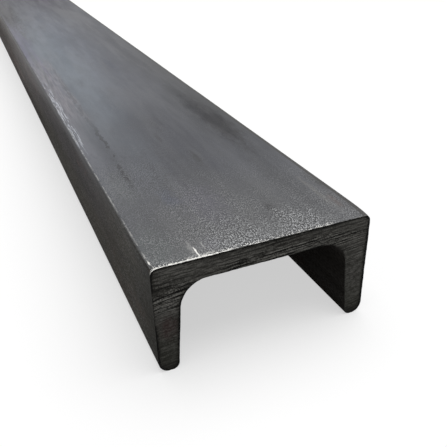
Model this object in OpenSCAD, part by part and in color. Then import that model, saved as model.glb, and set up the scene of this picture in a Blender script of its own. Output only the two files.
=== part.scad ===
// Hot-rolled steel channel with tapered flanges, sawn square to length.
// Millimetres. The bar lies on its two toes with the web on top.
// X runs across the web, Y along the bar, and Z up from the toes.
// The origin is at the middle of the bar, on the plane of the toes.

/* [Stock] */

// Length of the bar between its two sawn ends
length = 500; // [50:10:6000]

// Depth of the section across the web, between the outer faces of the flanges
depth = 50; // [30:1:200]

// Thickness of the web
web_thickness = 5; // [3:0.5:12]

/* [Flanges] */

// Width of each flange, from the back of the web to the toe
flange_width = 26; // [18:1:30]

// Thickness of each flange at half of its width
flange_thickness = 5.5; // [5.2:0.1:9]

// Taper of the inner face of each flange, in percent of its width
flange_slope = 8; // [0:1:10]

/* [Rounding] */

// Radius of the root between the web and each flange
root_radius = 6; // [1:0.5:10]

// Radius of the outer edge of each toe
outer_toe_radius = 2.5; // [0.5:0.1:2.7]

// Radius of the inner edge of each toe
inner_toe_radius = 1.7; // [0.5:0.1:1.9]

// Radius that rolling leaves on the two back corners
back_radius = 0.7; // [0.2:0.1:3]

/* [Hidden] */

$fn = 96;

taper = flange_slope / 100;
taper_angle = atan(taper);
web_underside = flange_width - web_thickness;
toe_thickness = flange_thickness - taper * flange_width / 2;
root_thickness = toe_thickness + taper * web_underside;

outer_x = depth / 2;
toe_x = outer_x - toe_thickness;
root_x = outer_x - root_thickness;

// How many times larger than the corner itself the rest of a corner is drawn
overrun = 1.1;

// Extra radius that makes each rounding arc cross the two faces it runs into
bite = 0.0002;

// The rest of the corner at point p, outside the arc of radius r that rounds it. The sides
// of the corner leave p at from_angle and to_angle. The rest runs a little past both of them.
module corner_rest(p, from_angle, to_angle, r) {
    half_angle = (to_angle - from_angle) / 2;
    middle_angle = from_angle + half_angle;
    reach = r / tan(half_angle);
    centre = p + r / sin(half_angle) * [cos(middle_angle), sin(middle_angle)];
    kite = [
        p,
        p + reach * [cos(from_angle), sin(from_angle)],
        centre,
        p + reach * [cos(to_angle), sin(to_angle)]
    ];
    difference() {
        polygon([for (point = kite) centre + overrun * (point - centre)]);
        translate(centre)
            circle(r = r + bite);
    }
}

// Repeats its children on the other flange.
module both_flanges() {
    for (side = [0, 1])
        mirror([side, 0])
            children();
}

// The section with every corner sharp.
module sharp_section() {
    polygon([
        [-outer_x, flange_width],
        [-outer_x, 0],
        [-toe_x, 0],
        [-root_x, web_underside],
        [root_x, web_underside],
        [toe_x, 0],
        [outer_x, 0],
        [outer_x, flange_width]
    ]);
}

module section() {
    difference() {
        union() {
            sharp_section();
            both_flanges()
                corner_rest([root_x, web_underside], 180, 270 + taper_angle, root_radius);
        }
        both_flanges() {
            corner_rest([outer_x, flange_width], 180, 270, back_radius);
            corner_rest([outer_x, 0], 90, 180, outer_toe_radius);
            corner_rest([toe_x, 0], 0, 90 + taper_angle, inner_toe_radius);
        }
    }
}

module channel() {
    color([0.36, 0.36, 0.35])
        rotate([90, 0, 0])
            linear_extrude(height = length, center = true)
                section();
}

channel();
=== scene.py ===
import math

import bpy
import numpy as np
from mathutils import Matrix, Vector


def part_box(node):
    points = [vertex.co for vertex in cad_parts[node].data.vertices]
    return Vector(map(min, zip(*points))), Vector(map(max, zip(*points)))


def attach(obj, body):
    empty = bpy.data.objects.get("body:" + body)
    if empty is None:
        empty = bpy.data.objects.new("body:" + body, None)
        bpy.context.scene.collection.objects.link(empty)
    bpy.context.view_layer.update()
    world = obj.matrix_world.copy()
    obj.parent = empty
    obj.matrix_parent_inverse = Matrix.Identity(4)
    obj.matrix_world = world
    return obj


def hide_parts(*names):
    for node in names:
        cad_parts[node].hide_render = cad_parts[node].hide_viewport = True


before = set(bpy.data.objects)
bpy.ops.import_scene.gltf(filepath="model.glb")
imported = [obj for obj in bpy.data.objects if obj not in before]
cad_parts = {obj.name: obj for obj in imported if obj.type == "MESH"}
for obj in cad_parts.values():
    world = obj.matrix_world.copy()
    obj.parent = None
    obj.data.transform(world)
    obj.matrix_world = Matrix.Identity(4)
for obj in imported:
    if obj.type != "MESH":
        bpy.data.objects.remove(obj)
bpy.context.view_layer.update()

# ---------------------------------------------------------------------------
# Camera
# It stands a hand's length before the near sawn end, above it and to its left,
# and looks down along the bar, which runs away to the upper left.
# ---------------------------------------------------------------------------

MM = 0.001
CAMERA_PLACE = Vector((-46.6, -337.2, 86.2)) * MM
CAMERA_AZIMUTH = math.radians(-22.95)
CAMERA_ELEVATION = math.radians(29.64)
CAMERA_ROLL = math.radians(-1.46)
LENS_MM = 46.18
SENSOR_MM = 36.0

toward_camera = Vector((
    math.sin(CAMERA_AZIMUTH) * math.cos(CAMERA_ELEVATION),
    -math.cos(CAMERA_AZIMUTH) * math.cos(CAMERA_ELEVATION),
    math.sin(CAMERA_ELEVATION),
))
camera_data = bpy.data.cameras.new("camera")
camera_data.lens = LENS_MM
camera_data.sensor_width = SENSOR_MM
camera_data.clip_start = 0.005
camera_data.clip_end = 50.0
camera = bpy.data.objects.new("camera", camera_data)
level_turn = (-toward_camera).to_track_quat("-Z", "Y").to_matrix()
camera.matrix_world = (
    Matrix.Translation(CAMERA_PLACE)
    @ (level_turn @ Matrix.Rotation(CAMERA_ROLL, 3, "Z")).to_4x4()
)
bpy.context.scene.collection.objects.link(camera)
bpy.context.scene.camera = camera

# ---------------------------------------------------------------------------
# Floor, background and lamps
# A plain white floor that keeps a soft shadow, and is clear only when seen from
# beneath, a white background, one broad overhead softbox and a weak even fill,
# so the top of the bar is the light side.
# ---------------------------------------------------------------------------

WHITE = (1.0, 1.0, 1.0, 1.0)
FLOOR_HALF_WIDTH = 30.0
FLOOR_COLOUR = (0.44, 0.44, 0.44, 1.0)
FLOOR_GLOW = 0.58
FILL_STRENGTH = 0.30
SOFTBOX_STRENGTH = 2.3
SOFTBOX_SPREAD = math.radians(70.0)
SOFTBOX_TILT = (math.radians(-6.0), math.radians(14.0), 0.0)

bpy.context.scene.view_settings.view_transform = "Standard"


def place_node(tree, kind, **settings):
    """A node of that kind, with the settings given by name."""
    made = tree.nodes.new(kind)
    for name, value in settings.items():
        setattr(made, name, value)
    return made


def background_seen(tree):
    """1 for the rays that see the background: the camera's, and those in gloss or glass."""
    path = place_node(tree, "ShaderNodeLightPath")
    total = path.outputs["Is Camera Ray"]
    for name in ("Is Glossy Ray", "Is Transmission Ray"):
        both = place_node(tree, "ShaderNodeMath", operation="MAXIMUM")
        tree.links.new(total, both.inputs[0])
        tree.links.new(path.outputs[name], both.inputs[1])
        total = both.outputs[0]
    return total


world = bpy.data.worlds.new("studio")
bpy.context.scene.world = world
world.use_nodes = True
world_tree = world.node_tree
world_tree.nodes.clear()
fill = place_node(world_tree, "ShaderNodeBackground")
fill.inputs["Color"].default_value = WHITE
fill.inputs["Strength"].default_value = FILL_STRENGTH
backdrop = place_node(world_tree, "ShaderNodeBackground")
backdrop.inputs["Color"].default_value = WHITE
world_mix = place_node(world_tree, "ShaderNodeMixShader")
world_out = place_node(world_tree, "ShaderNodeOutputWorld")
world_tree.links.new(background_seen(world_tree), world_mix.inputs[0])
world_tree.links.new(fill.outputs[0], world_mix.inputs[1])
world_tree.links.new(backdrop.outputs[0], world_mix.inputs[2])
world_tree.links.new(world_mix.outputs[0], world_out.inputs["Surface"])

floor_material = bpy.data.materials.new("white_floor")
floor_material.use_nodes = True
floor_tree = floor_material.node_tree
floor_tree.nodes.clear()
paint = place_node(floor_tree, "ShaderNodeBsdfDiffuse")
paint.inputs["Color"].default_value = FLOOR_COLOUR
glow = place_node(floor_tree, "ShaderNodeEmission")
glow_level = place_node(floor_tree, "ShaderNodeMath", operation="MULTIPLY")
floor_tree.links.new(background_seen(floor_tree), glow_level.inputs[0])
glow_level.inputs[1].default_value = FLOOR_GLOW
floor_tree.links.new(glow_level.outputs[0], glow.inputs["Strength"])
floor_sum = place_node(floor_tree, "ShaderNodeAddShader")
floor_tree.links.new(paint.outputs[0], floor_sum.inputs[0])
floor_tree.links.new(glow.outputs[0], floor_sum.inputs[1])
seen_through = place_node(floor_tree, "ShaderNodeMixShader")
floor_side = place_node(floor_tree, "ShaderNodeNewGeometry")
floor_tree.links.new(floor_side.outputs["Backfacing"], seen_through.inputs[0])
floor_tree.links.new(floor_sum.outputs[0], seen_through.inputs[1])
clear = place_node(floor_tree, "ShaderNodeBsdfTransparent")
floor_tree.links.new(clear.outputs[0], seen_through.inputs[2])
floor_out = place_node(floor_tree, "ShaderNodeOutputMaterial")
floor_tree.links.new(seen_through.outputs[0], floor_out.inputs["Surface"])

floor_mesh = bpy.data.meshes.new("floor")
reach = FLOOR_HALF_WIDTH
floor_mesh.from_pydata(
    [(-reach, -reach, 0), (reach, -reach, 0), (reach, reach, 0), (-reach, reach, 0)],
    [], [(0, 1, 2, 3)],
)
floor_mesh.materials.append(floor_material)
floor = bpy.data.objects.new("floor", floor_mesh)
bpy.context.scene.collection.objects.link(floor)

softbox_data = bpy.data.lights.new("softbox", "SUN")
softbox_data.energy = SOFTBOX_STRENGTH
softbox_data.angle = SOFTBOX_SPREAD
softbox = bpy.data.objects.new("softbox", softbox_data)
softbox.rotation_euler = SOFTBOX_TILT
bpy.context.scene.collection.objects.link(softbox)

# ---------------------------------------------------------------------------
# The channel
# One length of hot-rolled mild steel: a web with two tapered flanges, rounded at
# the roots and toes by the rolls, and cut square at both ends with a coarse saw,
# which leaves a thin bright burr along the upper edge of each cut.
# ---------------------------------------------------------------------------

# Sizes of the section, in millimetres, as rolled
_, box_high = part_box("channel")
HALF_LENGTH = box_high.y / MM
HALF_DEPTH = box_high.x / MM
FLANGE_WIDTH = box_high.z / MM
WEB = 5.0
TOE = 4.46
TAPER = 0.08
ROOT_RADIUS = 6.0
OUTER_TOE_RADIUS = 2.5
INNER_TOE_RADIUS = 1.7
BACK_RADIUS = 0.7

# The saw and the handling have knocked the back corners rounder just at the cuts
CORNER_WEAR = 0.85
CORNER_WEAR_REACH = 2.2

# Steps round the section, on each of its two sides
TOE_STEPS = 8
LEG_STEPS = 24
BEND_STEPS = 48
BACK_CORNER_STEPS = 6
FLANGE_FACE_STEPS = 16
SHOULDER_STEPS = BEND_STEPS - FLANGE_FACE_STEPS - BACK_CORNER_STEPS
MIDDLE_STEPS = 70
WALL_STEPS = 12

# Where the rings round the bar stand, in millimetres from each cut, and how many fill the rest
RING_GAPS = np.array([0, 0.15, 0.35, 0.7, 1.2, 2.0, 3.2, 5.0, 7.5, 11.0, 15.0, 20.0])
PLAIN_GAP = 5.0
PLAIN_RINGS = 86

# Relief, in millimetres: the wavy scale, the burr, the ragged edge and the set-back sawn faces
SURFACE_SINK = 0.06
BURR_HEIGHT = 0.06
BURR_REACH = 0.35
BACK_BAND = 0.02
EDGE_WAVE = 0.05
CUT_SINK = 0.16
CUT_EDGE = 0.35
CUT_WAVE = 0.02


def arc_steps(centre, radius, start, end, steps):
    """Points on an arc, its start left out."""
    turns = np.radians(np.linspace(start, end, steps + 1)[1:])
    return np.stack([centre[0] + radius * np.cos(turns), centre[1] + radius * np.sin(turns)], 1)


def straight_steps(start, end, steps):
    """Points along a line, its start left out."""
    share = np.linspace(0.0, 1.0, steps + 1)[1:, None]
    return np.array(start) * (1 - share) + np.array(end) * share


def rounding(corner, from_angle, to_angle, radius):
    """Centre of the arc that rounds a corner whose sides leave it at those angles."""
    half = math.radians(to_angle - from_angle) / 2
    middle = math.radians(from_angle) + half
    away = radius / math.sin(half)
    return np.array(corner) + away * np.array([math.cos(middle), math.sin(middle)])


web_underside = FLANGE_WIDTH - WEB
lean = 90.0 - math.degrees(math.atan(TAPER))
toe_corner = (-HALF_DEPTH + TOE, 0.0)
root_corner = (-HALF_DEPTH + TOE + TAPER * web_underside, web_underside)
inner_toe_centre = rounding(toe_corner, lean, 180.0, INNER_TOE_RADIUS)
root_centre = rounding(root_corner, lean - 180.0, 0.0, ROOT_RADIUS)
outer_toe_centre = (-HALF_DEPTH + OUTER_TOE_RADIUS, OUTER_TOE_RADIUS)
root_start = root_centre + ROOT_RADIUS * np.array(
    [math.cos(math.radians(lean + 90.0)), math.sin(math.radians(lean + 90.0))]
)


def outer_half(back_radius):
    """The outer side from the left toe to the middle of the web, its back corner at that radius."""
    centre = (-HALF_DEPTH + back_radius, FLANGE_WIDTH - back_radius)
    return np.concatenate([
        [(outer_toe_centre[0], 0.0)],
        arc_steps(outer_toe_centre, OUTER_TOE_RADIUS, 270.0, 180.0, TOE_STEPS),
        straight_steps((-HALF_DEPTH, OUTER_TOE_RADIUS), (-HALF_DEPTH, root_start[1]), LEG_STEPS),
        straight_steps((-HALF_DEPTH, root_start[1]), (-HALF_DEPTH, centre[1]), FLANGE_FACE_STEPS),
        arc_steps(centre, back_radius, 180.0, 90.0, BACK_CORNER_STEPS),
        straight_steps((centre[0], FLANGE_WIDTH), (root_centre[0], FLANGE_WIDTH), SHOULDER_STEPS),
        straight_steps((root_centre[0], FLANGE_WIDTH), (0.0, FLANGE_WIDTH), MIDDLE_STEPS // 2),
    ])


# The inner side from the left toe to the middle of the web
inner_half = np.concatenate([
    [(inner_toe_centre[0], 0.0)],
    arc_steps(inner_toe_centre, INNER_TOE_RADIUS, 270.0, 270.0 + lean, TOE_STEPS),
    straight_steps(
        inner_toe_centre + INNER_TOE_RADIUS * np.array(
            [math.cos(math.radians(lean - 90.0)), math.sin(math.radians(lean - 90.0))]
        ),
        root_start, LEG_STEPS,
    ),
    arc_steps(root_centre, ROOT_RADIUS, lean + 90.0, 90.0, BEND_STEPS),
    straight_steps((root_centre[0], web_underside), (0.0, web_underside), MIDDLE_STEPS // 2),
])


def whole_side(half_side):
    """Both halves of one side, from the left toe to the right toe."""
    return np.concatenate([half_side, half_side[-2::-1] * [-1.0, 1.0]])


inner_side = whole_side(inner_half)
side_count = len(inner_side)
toe_shares = np.linspace(0.0, 1.0, WALL_STEPS + 1)[1:-1, None]
toe_count = len(toe_shares)


def ring_at(from_cut):
    """One ring: the outer side, the right toe, the inner side backwards and the left toe."""
    wear = CORNER_WEAR * math.exp(-from_cut / CORNER_WEAR_REACH)
    outer_side = whole_side(outer_half(BACK_RADIUS + wear))
    right_toe = outer_side[-1] * (1 - toe_shares) + inner_side[-1] * toe_shares
    left_toe = inner_side[0] * (1 - toe_shares) + outer_side[0] * toe_shares
    return np.concatenate([outer_side, right_toe, inner_side[::-1], left_toe])


first_plain = RING_GAPS[-1] + PLAIN_GAP
plain_rings = np.linspace(first_plain, 2 * HALF_LENGTH - RING_GAPS[-1] - PLAIN_GAP, PLAIN_RINGS)
ring_places = np.concatenate(
    [RING_GAPS, plain_rings, (2 * HALF_LENGTH - RING_GAPS)[::-1]]
) - HALF_LENGTH


def ripple(places, seed, waves, longest, shortest):
    """A smooth uneven line of about unit height, from sine waves of several lengths."""
    chance = np.random.default_rng(seed)
    total = np.zeros_like(places, dtype=float)
    for wave in range(waves):
        length = longest * (shortest / longest) ** (wave / max(waves - 1, 1))
        total += np.sin(places * 2 * math.pi / length + chance.uniform(0, 2 * math.pi))
    return total / math.sqrt(waves)


# The skin of the bar, ring by ring: sunk a little for the wavy scale, and less where the burr is
vertices = []
for place in ring_places:
    from_cut = HALF_LENGTH - abs(place)
    ring = ring_at(from_cut)
    along_ring = np.roll(ring, -1, 0) - np.roll(ring, 1, 0)
    outward = np.stack([-along_ring[:, 1], along_ring[:, 0]], 1)
    outward /= np.linalg.norm(outward, axis=1)[:, None]
    walk = np.cumsum(np.linalg.norm(ring - np.roll(ring, 1, 0), axis=1))
    ring_count = len(ring)
    round_it = ripple(walk + place * 0.13, seed=3, waves=4, longest=60.0, shortest=9.0)
    along_it = ripple(np.full(ring_count, place), seed=5, waves=4, longest=140.0, shortest=23.0)
    sink = SURFACE_SINK * (0.6 + 0.2 * round_it + 0.2 * along_it)
    on_back = (ring[:, 1] > FLANGE_WIDTH - BACK_BAND).astype(float)
    lip = BURR_HEIGHT * on_back * np.exp(-from_cut / BURR_REACH)
    ragged = ripple(ring[:, 0], seed=11, waves=7, longest=9.0, shortest=0.9)
    lip *= 0.6 + 0.4 * np.clip(ragged, -1, 1)
    sink = np.clip(sink - lip, 0.0, None)
    flat = ring - outward * sink[:, None]
    flat[:, 1] = np.maximum(flat[:, 1], 0.0)
    edge_wave = 0.0
    if from_cut < RING_GAPS[1] / 2:
        ragged = ripple(walk, seed=17, waves=6, longest=14.0, shortest=1.3)
        edge_wave = EDGE_WAVE * (1 + np.clip(ragged, -1, 1))
    y = place - math.copysign(1.0, place) * edge_wave
    vertices.append(np.stack([flat[:, 0], np.broadcast_to(y, ring_count), flat[:, 1]], 1))
vertices = [np.concatenate(vertices)]

# Which finish a face has, in the order in which the finishes are made below
BACK, FLANGE, TROUGH, CUT = range(4)
faces = []
face_kinds = []
plain_ring = ring_at(HALF_LENGTH)


def kind_between(a, b):
    """Which finish the strip between two neighbouring points of the ring has."""
    middle = (plain_ring[a] + plain_ring[b]) / 2
    if a < b < side_count:
        on_back = middle[1] > FLANGE_WIDTH - BACK_RADIUS * 0.35
        return BACK if on_back else FLANGE
    return FLANGE if middle[1] < 0.5 * INNER_TOE_RADIUS else TROUGH


kinds = [kind_between(a, (a + 1) % ring_count) for a in range(ring_count)]
for row in range(len(ring_places) - 1):
    low, high = row * ring_count, (row + 1) * ring_count
    for a in range(ring_count):
        b = (a + 1) % ring_count
        faces.append((low + a, low + b, high + b, high + a))
        face_kinds.append(kinds[a])

# The two cuts: a grid across the wall, set back a little behind the burr
wall_shares = np.linspace(0.0, 1.0, WALL_STEPS + 1)
wall_columns = len(wall_shares)
from_rim = [np.zeros(len(vertices[0]))]
cut_outer_side = ring_at(0.0)[:side_count]


def cut_face(row, facing):
    """Adds one sawn face. Its rim is the last ring, so that the bar stays closed."""
    base = row * ring_count
    first_free = sum(map(len, vertices))
    index = np.full((side_count, wall_columns), -1, dtype=int)
    index[:, 0] = base + np.arange(side_count)
    index[:, -1] = base + side_count + toe_count + np.arange(side_count)[::-1]
    index[-1, 1:-1] = base + side_count + np.arange(toe_count)
    index[0, 1:-1] = base + ring_count - 1 - np.arange(toe_count)
    free = index < 0
    rows, columns = np.nonzero(free)
    index[free] = first_free + np.arange(len(rows))
    shares = wall_shares[columns][:, None]
    points = cut_outer_side[rows] * (1 - shares) + inner_side[rows] * shares
    thickness = np.linalg.norm(cut_outer_side[rows] - inner_side[rows], axis=1)
    to_rim = np.minimum(shares[:, 0], 1 - shares[:, 0]) * thickness
    set_back = CUT_SINK * (1 - np.exp(-to_rim / CUT_EDGE))
    set_back += CUT_WAVE * ripple(
        points[:, 1] + 0.1 * points[:, 0], seed=23, waves=5, longest=6.0, shortest=1.2
    )
    y = facing * (HALF_LENGTH - np.clip(set_back, 0.0, None))
    vertices.append(np.stack([points[:, 0], y, points[:, 1]], 1))
    from_rim.append(to_rim)
    for i in range(side_count - 1):
        for j in range(wall_columns - 1):
            corners = (index[i, j], index[i, j + 1], index[i + 1, j + 1], index[i + 1, j])
            faces.append(corners if facing < 0 else corners[::-1])
            face_kinds.append(CUT)


cut_face(0, -1.0)
cut_face(len(ring_places) - 1, 1.0)

bar_mesh = bpy.data.meshes.new("channel_bar")
bar_mesh.from_pydata(
    (np.concatenate(vertices) * MM).tolist(), [], [tuple(map(int, face)) for face in faces]
)
bar_mesh.polygons.foreach_set("material_index", face_kinds)
bar_mesh.polygons.foreach_set("use_smooth", [True] * len(faces))
bar_mesh.update()
rim_distance = bar_mesh.attributes.new("from_rim", "FLOAT", "POINT")
rim_distance.data.foreach_set("value", np.concatenate(from_rim))
bar = bpy.data.objects.new("channel_bar", bar_mesh)
bpy.context.scene.collection.objects.link(bar)

# Effects that the finishes of the rolled and the sawn faces share. Positions are in millimetres.


def feed(tree, socket, value):
    """Links value to the socket if it is an output, or else sets it."""
    if isinstance(value, bpy.types.NodeSocket):
        tree.links.new(value, socket)
    else:
        socket.default_value = value


def maths(tree, operation, first, second=0.0, third=0.0):
    """The output of one Math node."""
    made = place_node(tree, "ShaderNodeMath", operation=operation)
    for socket, value in zip(made.inputs, (first, second, third)):
        feed(tree, socket, value)
    return made.outputs[0]


def times(tree, *values):
    """The product of several values."""
    total = values[0]
    for value in values[1:]:
        total = maths(tree, "MULTIPLY", total, value)
    return total


def vector_maths(tree, operation, first, second):
    """The vector output of one Vector Math node."""
    made = place_node(tree, "ShaderNodeVectorMath", operation=operation)
    feed(tree, made.inputs[0], first)
    feed(tree, made.inputs[1], second)
    return made.outputs["Vector"]


def ramp(tree, value, low, high, to_low=0.0, to_high=1.0):
    """Value turned smoothly from the span low to high into the span to_low to to_high."""
    made = place_node(tree, "ShaderNodeMapRange", interpolation_type="SMOOTHSTEP")
    for name, given in (("Value", value), ("From Min", low), ("From Max", high),
                        ("To Min", to_low), ("To Max", to_high)):
        feed(tree, made.inputs[name], given)
    return made.outputs["Result"]


def combined(tree, x, y, z):
    """A vector of three values."""
    made = place_node(tree, "ShaderNodeCombineXYZ")
    for socket, value in zip(made.inputs, (x, y, z)):
        feed(tree, socket, value)
    return made.outputs[0]


def noise(tree, position, detail, roughness=0.55):
    """Soft noise from 0 to 1, whose blotches are about one unit of the position wide."""
    made = place_node(tree, "ShaderNodeTexNoise")
    feed(tree, made.inputs["Vector"], position)
    made.inputs["Scale"].default_value = 1.0
    made.inputs["Detail"].default_value = detail
    made.inputs["Roughness"].default_value = roughness
    return made.outputs["Fac"]


FLOAT, VECTOR = "NodeSocketFloat", "NodeSocketVector"


def new_effect(name, inputs, outputs):
    """A shader node group that takes a position and those inputs, its nodes still to be placed."""
    tree = bpy.data.node_groups.new(name, "ShaderNodeTree")
    for label, kind, value in (("Position", VECTOR, (0, 0, 0)), *inputs):
        socket = tree.interface.new_socket(name=label, in_out="INPUT", socket_type=kind)
        socket.default_value = value
    for label in outputs:
        tree.interface.new_socket(name=label, in_out="OUTPUT", socket_type=FLOAT)
    given = place_node(tree, "NodeGroupInput").outputs
    result = place_node(tree, "NodeGroupOutput").inputs
    return tree, given, result


def use_effect(tree, effect, **values):
    """Places an effect in a material, with its inputs given by name."""
    made = place_node(tree, "ShaderNodeGroup", node_tree=effect)
    for name, value in values.items():
        feed(tree, made.inputs[name], value)
    return made.outputs


# Drawn-out clouds: the uneven tone that the rolls leave, longer along the bar than across it
clouds, given, result = new_effect(
    "drawn_out_clouds",
    [("Across", FLOAT, 5.0), ("Along", FLOAT, 20.0), ("Seed", FLOAT, 0.0)],
    ["Cloud"],
)
spacing = combined(clouds, given["Across"], given["Along"], given["Across"])
squeezed = vector_maths(clouds, "DIVIDE", given["Position"], spacing)
jump = combined(clouds, *(times(clouds, given["Seed"], step) for step in (17.3, 5.1, 9.7)))
soft = noise(clouds, vector_maths(clouds, "ADD", squeezed, jump), 4.0, 0.6)
feed(clouds, result["Cloud"], ramp(clouds, soft, 0.3, 0.7))

# One placed patch: an oval with a ragged edge, such as a stain, a rubbed place or a scratch
patch, given, result = new_effect(
    "ragged_patch",
    [("Middle", VECTOR, (0, 0, 0)), ("Reach", VECTOR, (1, 1, 1)), ("Core", FLOAT, 0.35),
     ("Raggedness", FLOAT, 0.5), ("Grain", FLOAT, 2.0)],
    ["Patch"],
)
offset = vector_maths(patch, "SUBTRACT", given["Position"], given["Middle"])
offset = vector_maths(patch, "DIVIDE", offset, given["Reach"])
away = place_node(patch, "ShaderNodeVectorMath", operation="LENGTH")
patch.links.new(offset, away.inputs[0])
spacing = combined(patch, given["Grain"], times(patch, given["Grain"], 3.5), given["Grain"])
grain = noise(patch, vector_maths(patch, "DIVIDE", given["Position"], spacing), 4.0, 0.65)
ragged = times(patch, maths(patch, "SUBTRACT", grain, 0.5), given["Raggedness"], 4.0)
ragged = maths(patch, "ADD", ragged, away.outputs["Value"])
feed(patch, result["Patch"], ramp(patch, ragged, 1.0, given["Core"]))

# Orange peel: the fine pebbled grain of the scale as relief, with painted highlights on the pebbles
# and painted shade between them
peel, given, result = new_effect(
    "orange_peel",
    [("Across", FLOAT, 0.4), ("Along", FLOAT, 0.8)],
    ["Height", "Light", "Dark"],
)
split = place_node(peel, "ShaderNodeSeparateXYZ")
peel.links.new(given["Position"], split.inputs[0])
girth = maths(peel, "ADD", split.outputs["X"], split.outputs["Z"])
girth = maths(peel, "DIVIDE", girth, given["Across"])
pebbles = place_node(peel, "ShaderNodeTexVoronoi", voronoi_dimensions="2D", feature="F1")
length = maths(peel, "DIVIDE", split.outputs["Y"], given["Along"])
peel.links.new(combined(peel, girth, length, 0.0), pebbles.inputs["Vector"])
pebbles.inputs["Scale"].default_value = 1.0
pebbles.inputs["Randomness"].default_value = 0.85
chance = place_node(peel, "ShaderNodeSeparateXYZ")
peel.links.new(pebbles.outputs["Color"], chance.inputs[0])
middle = pebbles.outputs["Distance"]
feed(peel, result["Height"], ramp(peel, middle, 0.65, 0.1))
glint = ramp(peel, middle, 0.48, 0.15)
varied = ramp(peel, chance.outputs["X"], 0.0, 1.0, 0.25, 1.0)
feed(peel, result["Light"], times(peel, glint, varied))
feed(peel, result["Dark"], ramp(peel, middle, 0.42, 0.65))

# Torn edge: a ragged line along an edge, such as the bare metal that the saw or a knock leaves, or
# the painted shade along the outline of a cut
BREAK_SOFTNESS = 0.15
EDGE_SOFTNESS = 0.06
torn, given, result = new_effect(
    "torn_edge",
    [("Distance", FLOAT, 1.0), ("Width", FLOAT, 0.4), ("Breaks", FLOAT, 0.3),
     ("Seed", FLOAT, 0.0)],
    ["Torn"],
)
same = {"Position": given["Position"], "Seed": given["Seed"]}
long_break = use_effect(torn, clouds, Across=2.4, Along=6.0, **same)["Cloud"]
short_break = use_effect(torn, clouds, Across=0.55, Along=0.9, **same)["Cloud"]
break_start = maths(torn, "SUBTRACT", given["Breaks"], BREAK_SOFTNESS)
break_end = maths(torn, "ADD", given["Breaks"], BREAK_SOFTNESS)
kept = ramp(torn, long_break, break_start, break_end)
reach = times(torn, maths(torn, "ADD", short_break, 0.5), given["Width"], kept)
beyond = maths(torn, "SUBTRACT", given["Distance"], reach)
feed(torn, result["Torn"], times(torn, ramp(torn, beyond, EDGE_SOFTNESS, -EDGE_SOFTNESS), kept))

# Rust bloom: thin brown rust that has started in the scale, in freckled patches
RUST_SOFTNESS = 0.35
rust, given, result = new_effect(
    "rust_bloom",
    [("Amount", FLOAT, 0.3), ("Seed", FLOAT, 0.0)],
    ["Rust"],
)
same = {"Position": given["Position"], "Seed": given["Seed"]}
broad = use_effect(rust, clouds, Across=9.0, Along=40.0, **same)["Cloud"]
freckle = use_effect(rust, clouds, Across=0.7, Along=1.4, **same)["Cloud"]
spread = maths(rust, "MULTIPLY_ADD", freckle, 0.35, broad)
edge = maths(rust, "SUBTRACT", 1.0 + RUST_SOFTNESS, given["Amount"])
feed(rust, result["Rust"], ramp(rust, spread, edge, maths(rust, "ADD", edge, RUST_SOFTNESS)))

# Sockets of a Mix node that mixes colours: the share, the colour under and the colour over
MIX_SOCKETS = (0, 6, 7)
MIX_RESULT = 2


class Finish:
    """A material for one kind of face, with its colour laid on in thin layers over a ground."""

    def __init__(self, name, specular, ground):
        self.material = bpy.data.materials.new(name)
        self.material.use_nodes = True
        self.tree = self.material.node_tree
        self.surface = self.tree.nodes["Principled BSDF"]
        self.surface.inputs["Specular IOR Level"].default_value = specular
        place = place_node(self.tree, "ShaderNodeTexCoord").outputs["Object"]
        per_mm = 1.0 / MM
        self.position = vector_maths(self.tree, "MULTIPLY", place, (per_mm, per_mm, per_mm))
        split = place_node(self.tree, "ShaderNodeSeparateXYZ")
        self.tree.links.new(self.position, split.inputs[0])
        self.x, self.y, self.z = split.outputs
        self.from_near = self.maths("ADD", self.y, HALF_LENGTH)
        self.from_cut = self.maths("SUBTRACT", HALF_LENGTH, self.maths("ABSOLUTE", self.y))
        self.colour = (*ground, 1.0)
        bar_mesh.materials.append(self.material)

    def maths(self, *values):
        return maths(self.tree, *values)

    def times(self, *values):
        return times(self.tree, *values)

    def most(self, first, second):
        """The larger of two values."""
        return maths(self.tree, "MAXIMUM", first, second)

    def ramp(self, *values):
        return ramp(self.tree, *values)

    def effect(self, kind, **values):
        return use_effect(self.tree, kind, Position=self.position, **values)

    def cloud(self, across, along, seed):
        """Drawn-out clouds of that size, in millimetres."""
        return self.effect(clouds, Across=across, Along=along, Seed=seed)["Cloud"]

    def patch(self, middle, reach, core, raggedness, grain):
        """One patch at that place, with its half widths in millimetres."""
        return self.effect(patch, Middle=middle, Reach=reach, Core=core, Raggedness=raggedness,
                           Grain=grain)["Patch"]

    def torn(self, distance, width, breaks, seed):
        """A torn line of that width, where the distance comes to nothing."""
        return self.effect(torn, Distance=distance, Width=width, Breaks=breaks, Seed=seed)["Torn"]

    def lay(self, share, tone):
        """Lays that tone over the colour so far, where and as much as the share says."""
        made = place_node(self.tree, "ShaderNodeMix", data_type="RGBA")
        for socket, value in zip(MIX_SOCKETS, (share, self.colour, (*tone, 1.0))):
            feed(self.tree, made.inputs[socket], value)
        self.colour = made.outputs[MIX_RESULT]

    def done(self, roughness, metallic, height, relief):
        """Feeds the surface, with the height from 0 to 1 standing for that relief."""
        feed(self.tree, self.surface.inputs["Base Color"], self.colour)
        feed(self.tree, self.surface.inputs["Roughness"], roughness)
        feed(self.tree, self.surface.inputs["Metallic"], metallic)
        bump = place_node(self.tree, "ShaderNodeBump")
        bump.inputs["Distance"].default_value = relief * MM
        feed(self.tree, bump.inputs["Height"], height)
        self.tree.links.new(bump.outputs["Normal"], self.surface.inputs["Normal"])


BURR_STEEL = (0.86, 0.85, 0.81)
NEAR_BLACK = (0.005, 0.005, 0.005)
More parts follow.
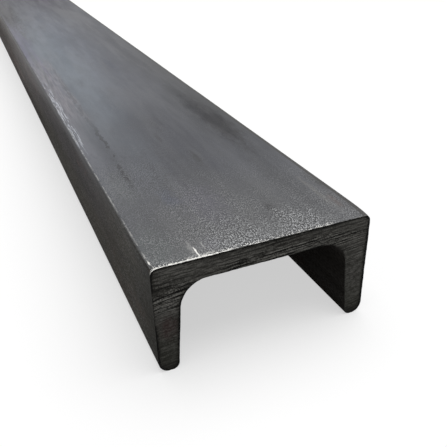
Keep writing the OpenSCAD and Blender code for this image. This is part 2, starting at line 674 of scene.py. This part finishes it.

# Back of the web: blue-grey scale, pebbled towards the cut with painted highlights on the pebbles
# and painted shade between them, with pools of lighter and darker tone, stains, streaks, a rubbed
# left arris, painted shade where the arrises turn down and the bright burr that the saw left along
# the near edge
SCALE_BLUE, SCALE_PALE_BLUE = (0.064, 0.067, 0.077), (0.080, 0.083, 0.095)
STREAK_SHADE, STREAK_LIGHT = (0.040, 0.040, 0.044), (0.210, 0.215, 0.235)
HEAT_PURPLE = (0.138, 0.128, 0.190)
DASH_SHADE, DASH_LIGHT = (0.045, 0.045, 0.052), (0.300, 0.275, 0.290)
SILVER_SHADE, SILVER = (0.050, 0.052, 0.060), (0.520, 0.540, 0.590)
LAP_BLACK, SPECK_GREY = (0.026, 0.026, 0.030), (0.030, 0.030, 0.032)
PEBBLE_GROUND, WEB_PEBBLE_HIGHLIGHT, WEB_PEBBLE_GAP_SHADE = (
    (0.012, 0.012, 0.013), (0.62, 0.63, 0.64), (0.006, 0.006, 0.007),
)
MOTTLE_GREY = (0.030, 0.030, 0.031)
CORNER_SHADE_BROWN = (0.035, 0.033, 0.031)
POOLS = [
    # x, distance from the near cut, half width, half length, colour
    (2.0, 345.0, 34.0, 74.0, (0.012, 0.010, 0.023)),
    (-5.0, 220.0, 23.0, 180.0, (0.106, 0.119, 0.150)),
    (26.0, 130.0, 15.0, 110.0, (0.020, 0.020, 0.021)),
    (-14.0, 165.0, 18.5, 148.0, (0.150, 0.174, 0.204)),
    (3.0, 59.0, 18.0, 68.0, (0.046, 0.048, 0.058)),
    (19.0, 75.0, 10.5, 54.0, (0.006, 0.006, 0.007)),
    (-2.0, 4.0, 53.0, 41.0, (0.108, 0.108, 0.108)),
    (-1.5, 1.5, 34.0, 9.0, (0.158, 0.160, 0.162)),
    (-23.0, 115.0, 4.8, 115.0, (0.172, 0.177, 0.200)),
]
POOL_SHARE = 0.85
STAINS = [
    # x, distance from the near cut, half width, half length, share, colour
    (-18.0, 43.0, 1.6, 9.0, 0.50, (0.036, 0.036, 0.040)),
    (-17.8, 66.0, 1.6, 26.0, 0.30, (0.045, 0.047, 0.054)),
    (17.7, 66.0, 4.1, 25.0, 0.93, (0.016, 0.015, 0.019)),
    (16.8, 30.0, 4.6, 30.0, 0.28, (0.020, 0.020, 0.020)),
    (18.1, 66.0, 4.3, 16.0, 0.78, (0.014, 0.014, 0.015)),
    (-1.5, 36.0, 9.0, 22.0, 0.30, (0.040, 0.040, 0.042)),
    (0.5, 76.0, 3.4, 11.0, 0.38, (0.030, 0.030, 0.036)),
    (24.0, 4.0, 3.0, 11.0, 0.50, (0.050, 0.050, 0.050)),
    (-2.2, 64.0, 0.9, 6.0, 0.80, (0.030, 0.030, 0.036)),
    (2.4, 46.0, 1.5, 7.5, 0.85, (0.025, 0.026, 0.028)),
    (4.0, 48.0, 0.9, 5.0, 0.14, (0.150, 0.150, 0.145)),
    (6.8, 12.5, 1.9, 3.6, 0.65, (0.020, 0.020, 0.021)),
    (-12.0, 26.5, 2.8, 6.0, 0.50, (0.070, 0.080, 0.115)),
    (-10.5, 4.0, 3.4, 4.5, 0.20, (0.130, 0.122, 0.165)),
    (23.2, 20.0, 0.9, 7.0, 0.75, (0.030, 0.032, 0.030)),
    (6.0, 156.0, 2.0, 18.0, 0.60, (0.060, 0.068, 0.086)),
    (-11.0, 131.0, 1.8, 6.5, 0.25, (0.075, 0.080, 0.098)),
    (-19.2, 238.0, 1.7, 17.0, 0.60, (0.085, 0.104, 0.085)),
    (8.0, 348.0, 4.2, 28.0, 0.75, (0.040, 0.034, 0.058)),
    (-9.0, 325.0, 3.2, 13.0, 0.50, (0.060, 0.066, 0.080)),
    (21.6, 9.0, 1.2, 5.0, 0.35, (0.125, 0.080, 0.066)),
    (20.3, 14.0, 0.9, 17.0, 0.52, (0.172, 0.168, 0.158)),
    (22.6, 16.0, 1.2, 13.0, 0.22, (0.040, 0.034, 0.034)),
    (-21.5, 320.0, 8.0, 95.0, 1.0, (0.022, 0.022, 0.020)),
    (-5.5, 20.0, 7.0, 16.0, 0.25, (0.110, 0.100, 0.150)),
    (-21.5, 6.0, 6.5, 14.0, 0.40, (0.135, 0.152, 0.148)),
    (-21.0, 36.0, 5.0, 18.0, 0.30, (0.135, 0.145, 0.140)),
    (-16.2, 4.2, 3.0, 3.6, 0.30, (0.060, 0.064, 0.064)),
    (18.0, 190.0, 8.0, 34.0, 0.14, (0.040, 0.042, 0.048)),
    (14.0, 292.0, 9.0, 46.0, 0.12, (0.040, 0.042, 0.048)),
]
THROUGH = 50.0  # half height of a patch, so great that height makes little difference to it
web = Finish("rolled_back_of_web", 0.2, SCALE_BLUE)


def web_patch(x, place, half_width, half_length, core, raggedness, grain):
    """A patch on the back of the web, its place along the bar counted from the near cut."""
    return web.patch((x, place - HALF_LENGTH, FLANGE_WIDTH), (half_width, half_length, THROUGH),
                     core, raggedness, grain)


web.lay(web.cloud(14.0, 90.0, 1.0), SCALE_PALE_BLUE)
for x, place, half_width, half_length, tone in POOLS:
    shown = web_patch(x, place, half_width, half_length, 0.0, 0.12, 6.0)
    web.lay(web.times(shown, POOL_SHARE), tone)
for x, place, half_width, half_length, share, tone in STAINS:
    shown = web_patch(x, place, half_width, half_length, 0.1, 0.5, 1.0)
    web.lay(web.times(shown, share), tone)

# Streaks along the bar, and the broken purple of heat colours beside the left arris
web.lay(web.times(web.cloud(4.4, 15.0, 2.0), 0.20), STREAK_SHADE)
web.lay(web.times(web.cloud(2.2, 30.0, 7.0), 0.05), STREAK_LIGHT)
purple = web.times(
    web.cloud(1.4, 90.0, 4.0), web.ramp(web.from_near, 80.0, 150.0),
    web.ramp(web.from_near, 300.0, 230.0, 0.25, 1.0), web.ramp(web.x, -16.5, -20.0), 0.6,
)
web.lay(purple, HEAT_PURPLE)
dashed = web.times(
    web.ramp(web.x, -15.5, -17.0), web.ramp(web.from_near, 80.0, 105.0),
    web.ramp(web.from_near, 190.0, 160.0), 0.40,
)
web.lay(web.times(dashed, web.cloud(0.5, 7.0, 51.0)), DASH_SHADE)
web.lay(web.times(dashed, web.cloud(0.5, 9.0, 52.0)), DASH_LIGHT)
silvered = web.times(
    web.ramp(web.x, -22.2, -23.2), web.ramp(web.from_near, 55.0, 80.0),
    web.ramp(web.from_near, 150.0, 115.0),
)
for seed, across, along, start, share, tone in (
    (53.0, 0.45, 9.0, 0.30, 0.30, SILVER_SHADE), (15.0, 0.36, 7.0, 0.38, 0.72, SILVER),
):
    threads = web.ramp(web.cloud(across, along, seed), start, 0.80)
    web.lay(web.times(silvered, threads, share), tone)

# A wandering lap in the scale beside the left arris, and specks round it
wander = noise(web.tree, combined(web.tree, 0.0, web.times(web.y, 0.07), 6.5), 3.0, 0.6)
from_lap = web.maths("MULTIPLY_ADD", wander, 4.4, web.maths("ADD", web.x, 15.4))
lap = web.times(
    web.torn(web.maths("ABSOLUTE", from_lap), 0.55, 0.24, 21.0),
    web.ramp(web.from_near, 30.0, 42.0), web.ramp(web.from_near, 86.0, 66.0, 0.45, 1.0),
    web.ramp(web.from_near, 170.0, 110.0), 0.75,
)
web.lay(lap, LAP_BLACK)
specks = web.times(
    web.ramp(web.cloud(1.1, 2.4, 46.0), 0.6, 0.9), web.ramp(web.x, 2.0, -9.0),
    web.ramp(web.from_near, 18.0, 30.0), web.ramp(web.from_near, 72.0, 46.0), 0.24,
)
web.lay(specks, SPECK_GREY)

# The pebbles: strongest at the cut, and where the saw has polished them right of the middle
worn = web.most(
    web_patch(9.5, 1.0, 10.0, 14.0, 0.0, 0.25, 1.5),
    web.times(web_patch(-4.0, 0.0, 12.0, 13.0, 0.0, 0.4, 1.5), 0.6),
)
worn_edge = web.times(
    web.ramp(web.from_near, 4.5, 0.5, 0.0, 0.6), web.ramp(web.x, 17.0, 13.0, 0.3, 1.0),
    web.ramp(web.x, -15.0, -8.0, 0.15, 1.0),
)
worn = web.most(worn, worn_edge)
dulled = web.times(
    web.ramp(web.from_near, -6.0, 50.0, 0.34, 0.04),
    web.ramp(web.cloud(3.0, 7.0, 14.0), 0.0, 1.0, 0.5, 1.3),
    web.ramp(web.x, 0.0, 6.0, 1.0, 0.66), web.ramp(web.x, -18.0, -9.0, 0.6, 1.0),
)
beside_lap = web.times(
    web.ramp(web.x, -4.0, -12.0), web.ramp(web.from_near, 22.0, 34.0),
    web.ramp(web.from_near, 60.0, 44.0), 0.13,
)
grain = web.maths("MULTIPLY_ADD", worn, 0.66, web.most(dulled, beside_lap))
pebbled = web.effect(peel, Across=0.32, Along=0.62)
web.lay(web.times(grain, 0.30), PEBBLE_GROUND)
# Painted highlights on the pebbles and painted shade between them
web.lay(web.times(pebbled["Light"], grain, 1.3), WEB_PEBBLE_HIGHLIGHT)
web.lay(web.times(pebbled["Dark"], grain, 0.9), WEB_PEBBLE_GAP_SHADE)
mottled = web.times(web.cloud(0.9, 1.9, 44.0), web.ramp(web.from_near, 50.0, 10.0), 0.16)
web.lay(mottled, MOTTLE_GREY)

# Bare metal: the burr, crumbs behind it, and a scratch that starts at the cut
burr = web.most(
    web.times(web.torn(web.from_cut, 0.42, 0.0, 8.0), web.ramp(web.x, -6.5, -9.5)),
    web.times(web.torn(web.from_cut, 0.20, 0.55, 9.0), web.ramp(web.x, 17.0, 13.0, 0.2, 1.0)),
)
wavy = web.maths("MULTIPLY_ADD", web.cloud(1.6, 3.0, 12.0), 0.9, 0.5)
from_wavy = web.maths("ABSOLUTE", web.maths("SUBTRACT", web.from_near, wavy))
behind = web.times(
    web.torn(from_wavy, 0.26, 0.5, 4.0),
    web.ramp(web.x, -18.0, -15.5), web.ramp(web.x, -9.5, -12.0), 0.42,
)
crumbs = web.times(
    web.ramp(pebbled["Light"], 0.35, 0.7), web.ramp(web.from_cut, 1.5, 0.5),
    web.ramp(web.x, 17.0, 14.0), 0.8,
)
scratch = web_patch(-14.6, 2.0, 0.26, 3.2, 0.3, 0.5, 0.4)
for x, place, half_width, half_length, raggedness, share in (
    (-15.2, 4.4, 0.7, 4.0, 0.7, 0.13), (-12.6, 4.4, 0.28, 2.2, 0.5, 0.25),
):
    faint = web_patch(x, place, half_width, half_length, 0.2, raggedness, 0.4)
    scratch = web.most(scratch, web.times(faint, share))
bare = web.most(web.most(burr, behind), web.most(scratch, crumbs))

# The two arrises: painted shade where they turn down, stronger on the right one, with a broken line
# of bare metal along the left one
turned_down = web.maths("POWER", math.e, web.times(web.from_cut, -1.0 / CORNER_WEAR_REACH))
corner_radius = web.maths("MULTIPLY_ADD", turned_down, CORNER_WEAR, BACK_RADIUS)
from_side = web.maths("SUBTRACT", HALF_DEPTH, web.maths("ABSOLUTE", web.x))
from_arris = web.maths("MULTIPLY_ADD", corner_radius, -0.8, from_side)
on_right = web.ramp(web.x, 0.0, 1.0)
arris_shade = web.ramp(web.maths("MULTIPLY_ADD", on_right, -0.9, from_arris), 0.0, -0.15)
arris_line = web.times(
    web.torn(web.maths("ABSOLUTE", from_arris), 0.15, 0.38, 3.0),
    web.ramp(web.cloud(0.6, 1.5, 19.0), 0.3, 0.7, 0.40, 1.1), web.ramp(web.x, 0.0, -1.0),
    web.ramp(web.from_near, 2.5, 4.5, 1.0, 0.22), web.ramp(web.from_near, 60.0, 220.0, 1.0, 0.3),
)
# Painted shade along the arrises where they turn down
web.lay(web.times(arris_shade, web.ramp(web.x, 0.0, 1.0, 0.48, 0.90)), CORNER_SHADE_BROWN)
web.lay(arris_line, BURR_STEEL)
web.lay(bare, BURR_STEEL)
thick_scale = web_patch(18.0, 72.0, 5.2, 35.0, 0.0, 0.45, 2.5)
roughness = web.ramp(web.cloud(5.0, 50.0, 6.0), 0.0, 1.0, 0.46, 0.56)
roughness = web.maths("MULTIPLY_ADD", thick_scale, 0.21, roughness)
web.done(roughness, web.times(bare, 0.15), web.times(pebbled["Height"], grain), 0.08)

# Outside of the flanges and the toes: dark brown-grey scale, smoother away from the cuts and
# lighter and redder there, partly as a painted sheen, smoked beside them, with thin rust and an
# arris that handling has rubbed paler and that carries a painted highlight
FLANGE_BROWN, FLANGE_PALE_BROWN = (0.044, 0.039, 0.031), (0.054, 0.048, 0.039)
OLIVE_BROWN, FAR_RED_SHEEN_BROWN = (0.041, 0.039, 0.028), (0.064, 0.043, 0.042)
BLUED_BROWN = (0.049, 0.044, 0.053)
SOFT_SHADE, SOFT_LIGHT = (0.016, 0.014, 0.011), (0.130, 0.122, 0.115)
THIN_RUST = (0.120, 0.072, 0.060)
FLAKE_BLACK = (0.018, 0.018, 0.019)
DRAWN_DARK, DRAWN_LIGHT = (0.012, 0.011, 0.009), (0.180, 0.175, 0.165)
FLANGE_PEBBLE_HIGHLIGHT, FLANGE_PEBBLE_GAP_SHADE = (0.19, 0.185, 0.175), (0.005, 0.004, 0.003)
CUT_SMOKE = (0.006, 0.006, 0.004)
RUBBED_AND_HIGHLIGHT_GREY, ARRIS_HIGHLIGHT_GREY, KNOCKED_GREY = (
    (0.128, 0.128, 0.132), (0.205, 0.205, 0.215), (0.120, 0.108, 0.098),
)
FOOT_SHADE, SOLE_BLACK = (0.012, 0.011, 0.010), (0.010, 0.009, 0.008)
RUSTY_PLACES = [
    # distance from the near cut, height, half length, half height, share
    (175.0, 19.0, 40.0, 5.0, 0.35),
    (250.0, 9.0, 55.0, 7.0, 0.35),
    (70.0, 20.0, 4.0, 1.3, 0.35),
    (12.0, 7.5, 4.5, 3.0, 0.30),
]
RUST_DEPTH = 20.0  # half width of a patch, which keeps it to the left flange
flanges = Finish("rolled_flange", 0.05, FLANGE_BROWN)
away = flanges.times(
    flanges.ramp(flanges.maths("MULTIPLY_ADD", flanges.z, 4.0, flanges.from_near), 160.0, 270.0),
    flanges.ramp(flanges.from_cut, 5.0, 80.0),
)
flanges.lay(flanges.cloud(8.0, 50.0, 11.0), FLANGE_PALE_BROWN)
flanges.lay(flanges.ramp(flanges.from_cut, 34.0, 4.0, 0.0, 0.8), OLIVE_BROWN)
# Lighter and redder away from the cuts: partly the scale's redder tone, partly a painted sheen
flanges.lay(flanges.times(away, 0.8), FAR_RED_SHEEN_BROWN)
flanges.lay(flanges.times(flanges.cloud(2.0, 14.0, 12.0), 0.38), SOFT_SHADE)
flanges.lay(flanges.times(flanges.cloud(0.7, 12.0, 13.0), 0.20), SOFT_LIGHT)
blued = flanges.times(
    flanges.ramp(flanges.z, 9.0, 18.0), flanges.ramp(flanges.from_near, 20.0, 60.0),
    flanges.ramp(flanges.from_near, 240.0, 170.0), 0.6,
)
flanges.lay(blued, BLUED_BROWN)
rusted = flanges.times(flanges.effect(rust, Amount=0.35, Seed=2.0)["Rust"], 0.3)
for place, height, half_length, half_height, share in RUSTY_PLACES:
    shown = flanges.patch((-HALF_DEPTH, place - HALF_LENGTH, height),
                          (RUST_DEPTH, half_length, half_height), 0.1, 0.6, 2.0)
    rusted = flanges.most(rusted, flanges.times(shown, share))
flanges.lay(rusted, THIN_RUST)

# Its finer marks: flakes, drawn lines, pebbled grain with painted highlights on the pebbles and
# painted shade between them, and the smoke of the saw beside the cuts
by_cut = flanges.ramp(flanges.from_cut, 34.0, 3.0)
flakes = flanges.ramp(flanges.cloud(3.4, 10.0, 26.0), 0.50, 0.62)
flanges.lay(flanges.times(flakes, flanges.maths("MULTIPLY_ADD", by_cut, 0.10, 0.28)), FLAKE_BLACK)
drawn = flanges.maths("MULTIPLY_ADD", by_cut, 0.22, 0.12)
for across, along, seed, start, end, tone in (
    (0.7, 3.5, 17.0, 0.3, 0.8, DRAWN_DARK), (0.6, 3.0, 19.0, 0.5, 0.9, DRAWN_LIGHT),
):
    lines = flanges.ramp(flanges.cloud(across, along, seed), start, end)
    flanges.lay(flanges.times(drawn, lines), tone)
fine = flanges.effect(peel, Across=0.36, Along=1.0)
grain = flanges.times(
    flanges.ramp(flanges.from_cut, 4.0, 30.0, 1.0, 0.7),
    flanges.ramp(flanges.cloud(4.0, 9.0, 18.0), 0.0, 1.0, 0.5, 1.2),
)
# Painted highlights on the pebbles and painted shade between them
flanges.lay(flanges.times(fine["Light"], grain, 0.8), FLANGE_PEBBLE_HIGHLIGHT)
flanges.lay(flanges.times(fine["Dark"], grain, 0.3), FLANGE_PEBBLE_GAP_SHADE)
flanges.lay(flanges.ramp(flanges.from_cut, 18.0, 0.0, 0.0, 0.7), CUT_SMOKE)

# Its edges: the arris rubbed pale and given a painted highlight, knocked and burred at the cuts,
# and the dark foot and sole
# The arris rubbed pale, and with it a painted highlight along the arris
rubbed_and_highlight = flanges.times(
    flanges.ramp(flanges.z, 22.2, 25.6), flanges.ramp(flanges.from_near, 0.0, 82.0, 0.12, 0.82),
    flanges.ramp(flanges.from_near, 190.0, 120.0, 0.45, 1.0),
)
flanges.lay(rubbed_and_highlight, RUBBED_AND_HIGHLIGHT_GREY)
# A painted highlight along the top of the arris
arris_highlight = flanges.times(
    flanges.ramp(flanges.z, 23.6, 25.2), flanges.ramp(flanges.from_near, 40.0, 90.0), 0.42,
)
flanges.lay(arris_highlight, ARRIS_HIGHLIGHT_GREY)
high = flanges.ramp(flanges.z, FLANGE_WIDTH - 1.4, FLANGE_WIDTH - 0.7)
knocked = flanges.times(high, flanges.ramp(flanges.from_cut, 1.6, 0.4), 0.55)
flanges.lay(knocked, KNOCKED_GREY)
burr = flanges.times(flanges.torn(flanges.from_cut, 0.24, 0.1, 9.0), high, 0.55)
flanges.lay(burr, BURR_STEEL)
foot = flanges.times(
    flanges.ramp(flanges.z, 9.5, 6.0), flanges.ramp(flanges.from_near, 125.0, 170.0),
    flanges.ramp(flanges.from_near, 310.0, 240.0), 0.28,
)
flanges.lay(foot, FOOT_SHADE)
flanges.lay(flanges.ramp(flanges.z, 1.2, 0.3, 0.0, 0.6), SOLE_BLACK)
far_and_low = flanges.times(
    flanges.ramp(flanges.from_near, 200.0, 320.0), flanges.ramp(flanges.z, 25.0, 11.0),
)
roughness = flanges.ramp(flanges.cloud(3.0, 30.0, 16.0), 0.0, 1.0, 0.75, 0.81)
for where, change in (
    (flanges.ramp(flanges.z, 12.0, 25.0), -0.12), (away, -0.20), (far_and_low, 0.13), (foot, 0.30),
):
    roughness = flanges.maths("MULTIPLY_ADD", where, change, roughness)
flanges.done(roughness, flanges.times(burr, 0.15), fine["Height"], 0.05)

# Inside of the trough: tight blue-black scale that nothing has rubbed, painted darker still as
# shade in the hollow
TROUGH_SHADE_BLACK, TROUGH_BROWN = (0.020, 0.018, 0.016), (0.030, 0.028, 0.026)
TROUGH_BLOTCH, TROUGH_RUST = (0.045, 0.040, 0.035), (0.060, 0.034, 0.025)
TROUGH_PEBBLE_GAP_SHADE = (0.006, 0.005, 0.004)
trough = Finish("rolled_trough", 0.02, TROUGH_SHADE_BLACK)
trough.lay(trough.cloud(6.0, 60.0, 21.0), TROUGH_BROWN)
trough.lay(trough.times(trough.cloud(1.2, 6.0, 22.0), 0.3), TROUGH_BLOTCH)
trough.lay(trough.times(trough.effect(rust, Amount=0.4, Seed=6.0)["Rust"], 0.4), TROUGH_RUST)
fine = trough.effect(peel, Across=0.55, Along=1.3)
# Painted shade between the pebbles
trough.lay(trough.times(fine["Dark"], 0.5), TROUGH_PEBBLE_GAP_SHADE)
roughness = trough.ramp(trough.cloud(4.0, 30.0, 24.0), 0.0, 1.0, 0.7, 0.85)
trough.done(roughness, 0.0, fine["Height"], 0.05)

# Sawn ends: dark olive-grey steel, scored in long lines that are nearly level, as a very large
# saw leaves them, with lighter and darker patches, a brown stain, painted shade in the low scores
# and grooves, painted highlights on the high scores and ridges, and a black rim of painted shade
SAW_CENTRE = (-45.0, 1500.0)  # x and height, far above the bar
CUT_GREY, CUT_PALE_GREY = (0.060, 0.058, 0.052), (0.073, 0.071, 0.065)
LIGHTER, DARKER = (0.135, 0.132, 0.122), (0.018, 0.017, 0.014)
CUT_RUST, CUT_OLIVE = (0.050, 0.025, 0.025), (0.036, 0.038, 0.028)
CUT_RIM_SHADE = (0.010, 0.010, 0.008)
SCORE_SHADE_BLACK, SCORE_HIGHLIGHT = (0.004, 0.004, 0.003), (0.235, 0.230, 0.212)
GROOVE_SHADE_BLACK, RIDGE_HIGHLIGHT = (0.002, 0.002, 0.002), (0.240, 0.235, 0.218)
CUT_PATCHES = [
    # x, height, half width, half height, share, colour
    (-17.0, 24.4, 8.0, 2.0, 0.30, LIGHTER),
    (-8.5, 21.6, 13.0, 1.1, 0.40, LIGHTER),
    (8.5, 21.6, 7.5, 1.2, 0.45, LIGHTER),
    (22.4, 19.8, 4.0, 6.6, 0.50, LIGHTER),
    (-22.0, 15.0, 3.4, 1.9, 0.45, LIGHTER),
    (22.3, 14.0, 3.5, 14.0, 0.22, LIGHTER),
    (-24.2, 22.6, 2.4, 4.2, 0.50, DARKER),
    (-22.5, 19.8, 4.2, 2.2, 0.30, DARKER),
    (1.0, 24.8, 7.0, 2.2, 0.50, DARKER),
    # Painted shade: a black band under the burr along the top edge
    (1.5, 25.8, 8.0, 1.3, 0.75, NEAR_BLACK),
    (-22.5, 8.8, 3.2, 1.8, 0.35, DARKER),
]
WHOLE_BAR = 600.0  # half length of a patch, so that it is still seen faintly at the far end
cut = Finish("sawn_end", 0.05, CUT_GREY)


def cut_patch(x, height, half_width, half_height, core, raggedness, grain):
    """A patch on the near sawn face, which fades towards the far one."""
    return cut.patch((x, -HALF_LENGTH, height), (half_width, WHOLE_BAR, half_height),
                     core, raggedness, grain)


# How far a point lies from the middle of the saw, with the lines tipped a little on the legs
saw_x = cut.maths("SUBTRACT", cut.x, SAW_CENTRE[0])
saw_z = cut.maths("SUBTRACT", cut.z, SAW_CENTRE[1])
saw_reach = cut.maths("SQRT", cut.maths("MULTIPLY_ADD", saw_x, saw_x, cut.times(saw_z, saw_z)))
tipped = cut.ramp(cut.z, 25.0, 17.0, 0.0, 0.08)
saw_reach = cut.maths("MULTIPLY_ADD", cut.x, tipped, saw_reach)


def uneven(spread, *settings):
    """Noise on the sawn faces, with the position multiplied by that spread."""
    return noise(cut.tree, vector_maths(cut.tree, "MULTIPLY", cut.position, spread), *settings)


def saw_lines(pitch, stretch, seed):
    """Uneven scores that follow the rim of the saw, from 0 to 1."""
    waver = uneven((0.16, 0.0, 0.35), 2.0)
    depth = cut.times(cut.maths("MULTIPLY_ADD", waver, 0.3, saw_reach), 1.0 / pitch)
    along = cut.times(saw_x, 1.0 / (pitch * stretch))
    return noise(cut.tree, combined(cut.tree, along, seed, depth), 1.5, 0.6)


# Uneven scores, and the even grooves and ridges of the teeth where they are not broken off,
# all of them strongest in the left root and along the web; the low scores and grooves get painted
# shade and the high scores and ridges painted highlights
left_root = cut_patch(-19.5, 18.5, 9.0, 4.6, 0.35, 0.3, 2.0)
right_web = cut_patch(8.0, 21.8, 25.0, 2.6, 0.35, 0.3, 2.0)
strong = cut.times(
    cut.maths("MULTIPLY_ADD", cut.most(left_root, right_web), 0.70, 0.46),
    cut.ramp(cut.z, 12.0, 16.0, 0.55, 1.0),
)
pitted = uneven((3.2, 1.0, 3.6), 2.0, 0.6)
lines = cut.maths("MULTIPLY_ADD", saw_lines(0.28, 8.0, 8.0), 0.55,
                  cut.times(saw_lines(0.50, 30.0, 3.0), 0.45))
lines = cut.maths("MULTIPLY_ADD", cut.maths("SUBTRACT", pitted, 0.5), 0.36, lines)
sway = uneven((0.12, 0.0, 0.5), 2.0, 0.6)
tooth = cut.maths("MULTIPLY_ADD", sway, 0.8, cut.times(saw_reach, 1.35))
tooth = cut.maths("PINGPONG", tooth, 0.5)
broken = cut.ramp(saw_lines(1.3, 9.0, 5.0), 0.42, 0.56)
groove = cut.times(cut.ramp(tooth, 0.22, 0.06), broken, strong)
ridge = cut.times(cut.ramp(tooth, 0.30, 0.42), broken, strong)

# Tones from the ground up: clouds, patches, streaked legs, rust and olive, then the scores
cut.lay(cut.cloud(6.0, 6.0, 31.0), CUT_PALE_GREY)
for x, height, half_width, half_height, share, tone in CUT_PATCHES:
    shown = cut_patch(x, height, half_width, half_height, 0.1, 0.3, 1.5)
    cut.lay(cut.times(shown, share), tone)
leg = cut.ramp(cut.z, 17.0, 13.0, 0.25, 0.6)
cut.lay(cut.times(cut.ramp(cut.cloud(1.0, 50.0, 35.0), 0.2, 0.8), leg), DARKER)
cut.lay(cut.times(cut.ramp(cut.cloud(1.0, 50.0, 36.0), 0.3, 0.9), leg, 0.7), LIGHTER)
cut.lay(cut.times(cut_patch(-22.3, 11.2, 3.4, 4.0, 0.1, 0.4, 1.2), 0.58), CUT_RUST)
cut.lay(cut.times(cut.ramp(cut.z, 12.0, 4.0), 0.4), CUT_OLIVE)
# Painted shade in the low scores and painted highlight on the high ones, over the scores' own tone
cut.lay(cut.times(cut.ramp(lines, 0.50, 0.40), strong), SCORE_SHADE_BLACK)
cut.lay(cut.times(cut.ramp(lines, 0.50, 0.62), strong, 0.85), SCORE_HIGHLIGHT)
# Painted highlight on the ridges of the teeth and painted shade in their grooves
cut.lay(cut.times(ridge, cut.ramp(pitted, 0.4, 0.6), 0.7), RIDGE_HIGHLIGHT)
cut.lay(cut.times(groove, 1.1), GROOVE_SHADE_BLACK)

# The black rim of painted shade along the outline of the cut, which is thin under the web, in the
# trough's right corner and on the left side
from_edge = place_node(cut.tree, "ShaderNodeAttribute", attribute_name="from_rim").outputs["Fac"]
right_corner = cut.times(cut.ramp(cut.x, 22.6, 22.0), cut.ramp(cut.x, 10.0, 14.0))
underside = cut.times(
    cut.ramp(cut.z, 23.4, 22.8),
    cut.most(cut.ramp(cut.maths("ABSOLUTE", cut.x), 18.0, 15.0), right_corner),
)
left_side = cut.times(
    cut.ramp(cut.x, -23.2, -23.8), cut.ramp(cut.z, 11.0, 14.0), cut.ramp(cut.z, 22.0, 20.0),
)
spared = cut.most(underside, left_side)
rim_width = cut.maths("MULTIPLY_ADD", spared, -0.25, cut.ramp(cut.z, 23.0, 25.0, 0.42, 0.50))
right_side = cut.times(cut.ramp(cut.x, 22.5, 23.5), cut.ramp(cut.z, 25.0, 23.0), 0.15)
rim_width = cut.maths("ADD", rim_width, right_side)
# Painted shade in a band along the outline
rim_shade_band = cut.times(cut.ramp(from_edge, 1.3, 0.3), cut.ramp(spared, 0.0, 1.0, 0.55, 0.12))
cut.lay(rim_shade_band, CUT_RIM_SHADE)
# Darker towards the bottom
cut.lay(cut.ramp(cut.z, 3.0, 1.0, 0.0, 0.6), NEAR_BLACK)
# Painted shade in a ragged black line along the outline
rim_shade_line = cut.torn(from_edge, rim_width, 0.0, 33.0)
cut.lay(cut.times(rim_shade_line, cut.ramp(spared, 0.0, 1.0, 0.92, 0.45)), NEAR_BLACK)
lip = cut.torn(cut.maths("SUBTRACT", FLANGE_WIDTH, cut.z), 0.10, 0.2, 8.0)
cut.lay(cut.times(lip, cut.ramp(cut.x, -7.0, -9.0, 0.3, 1.0)), BURR_STEEL)
cut.done(0.7, 0.0, cut.maths("SUBTRACT", lines, cut.times(groove, 0.3)), 0.10)

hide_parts("channel")
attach(bar, "root")
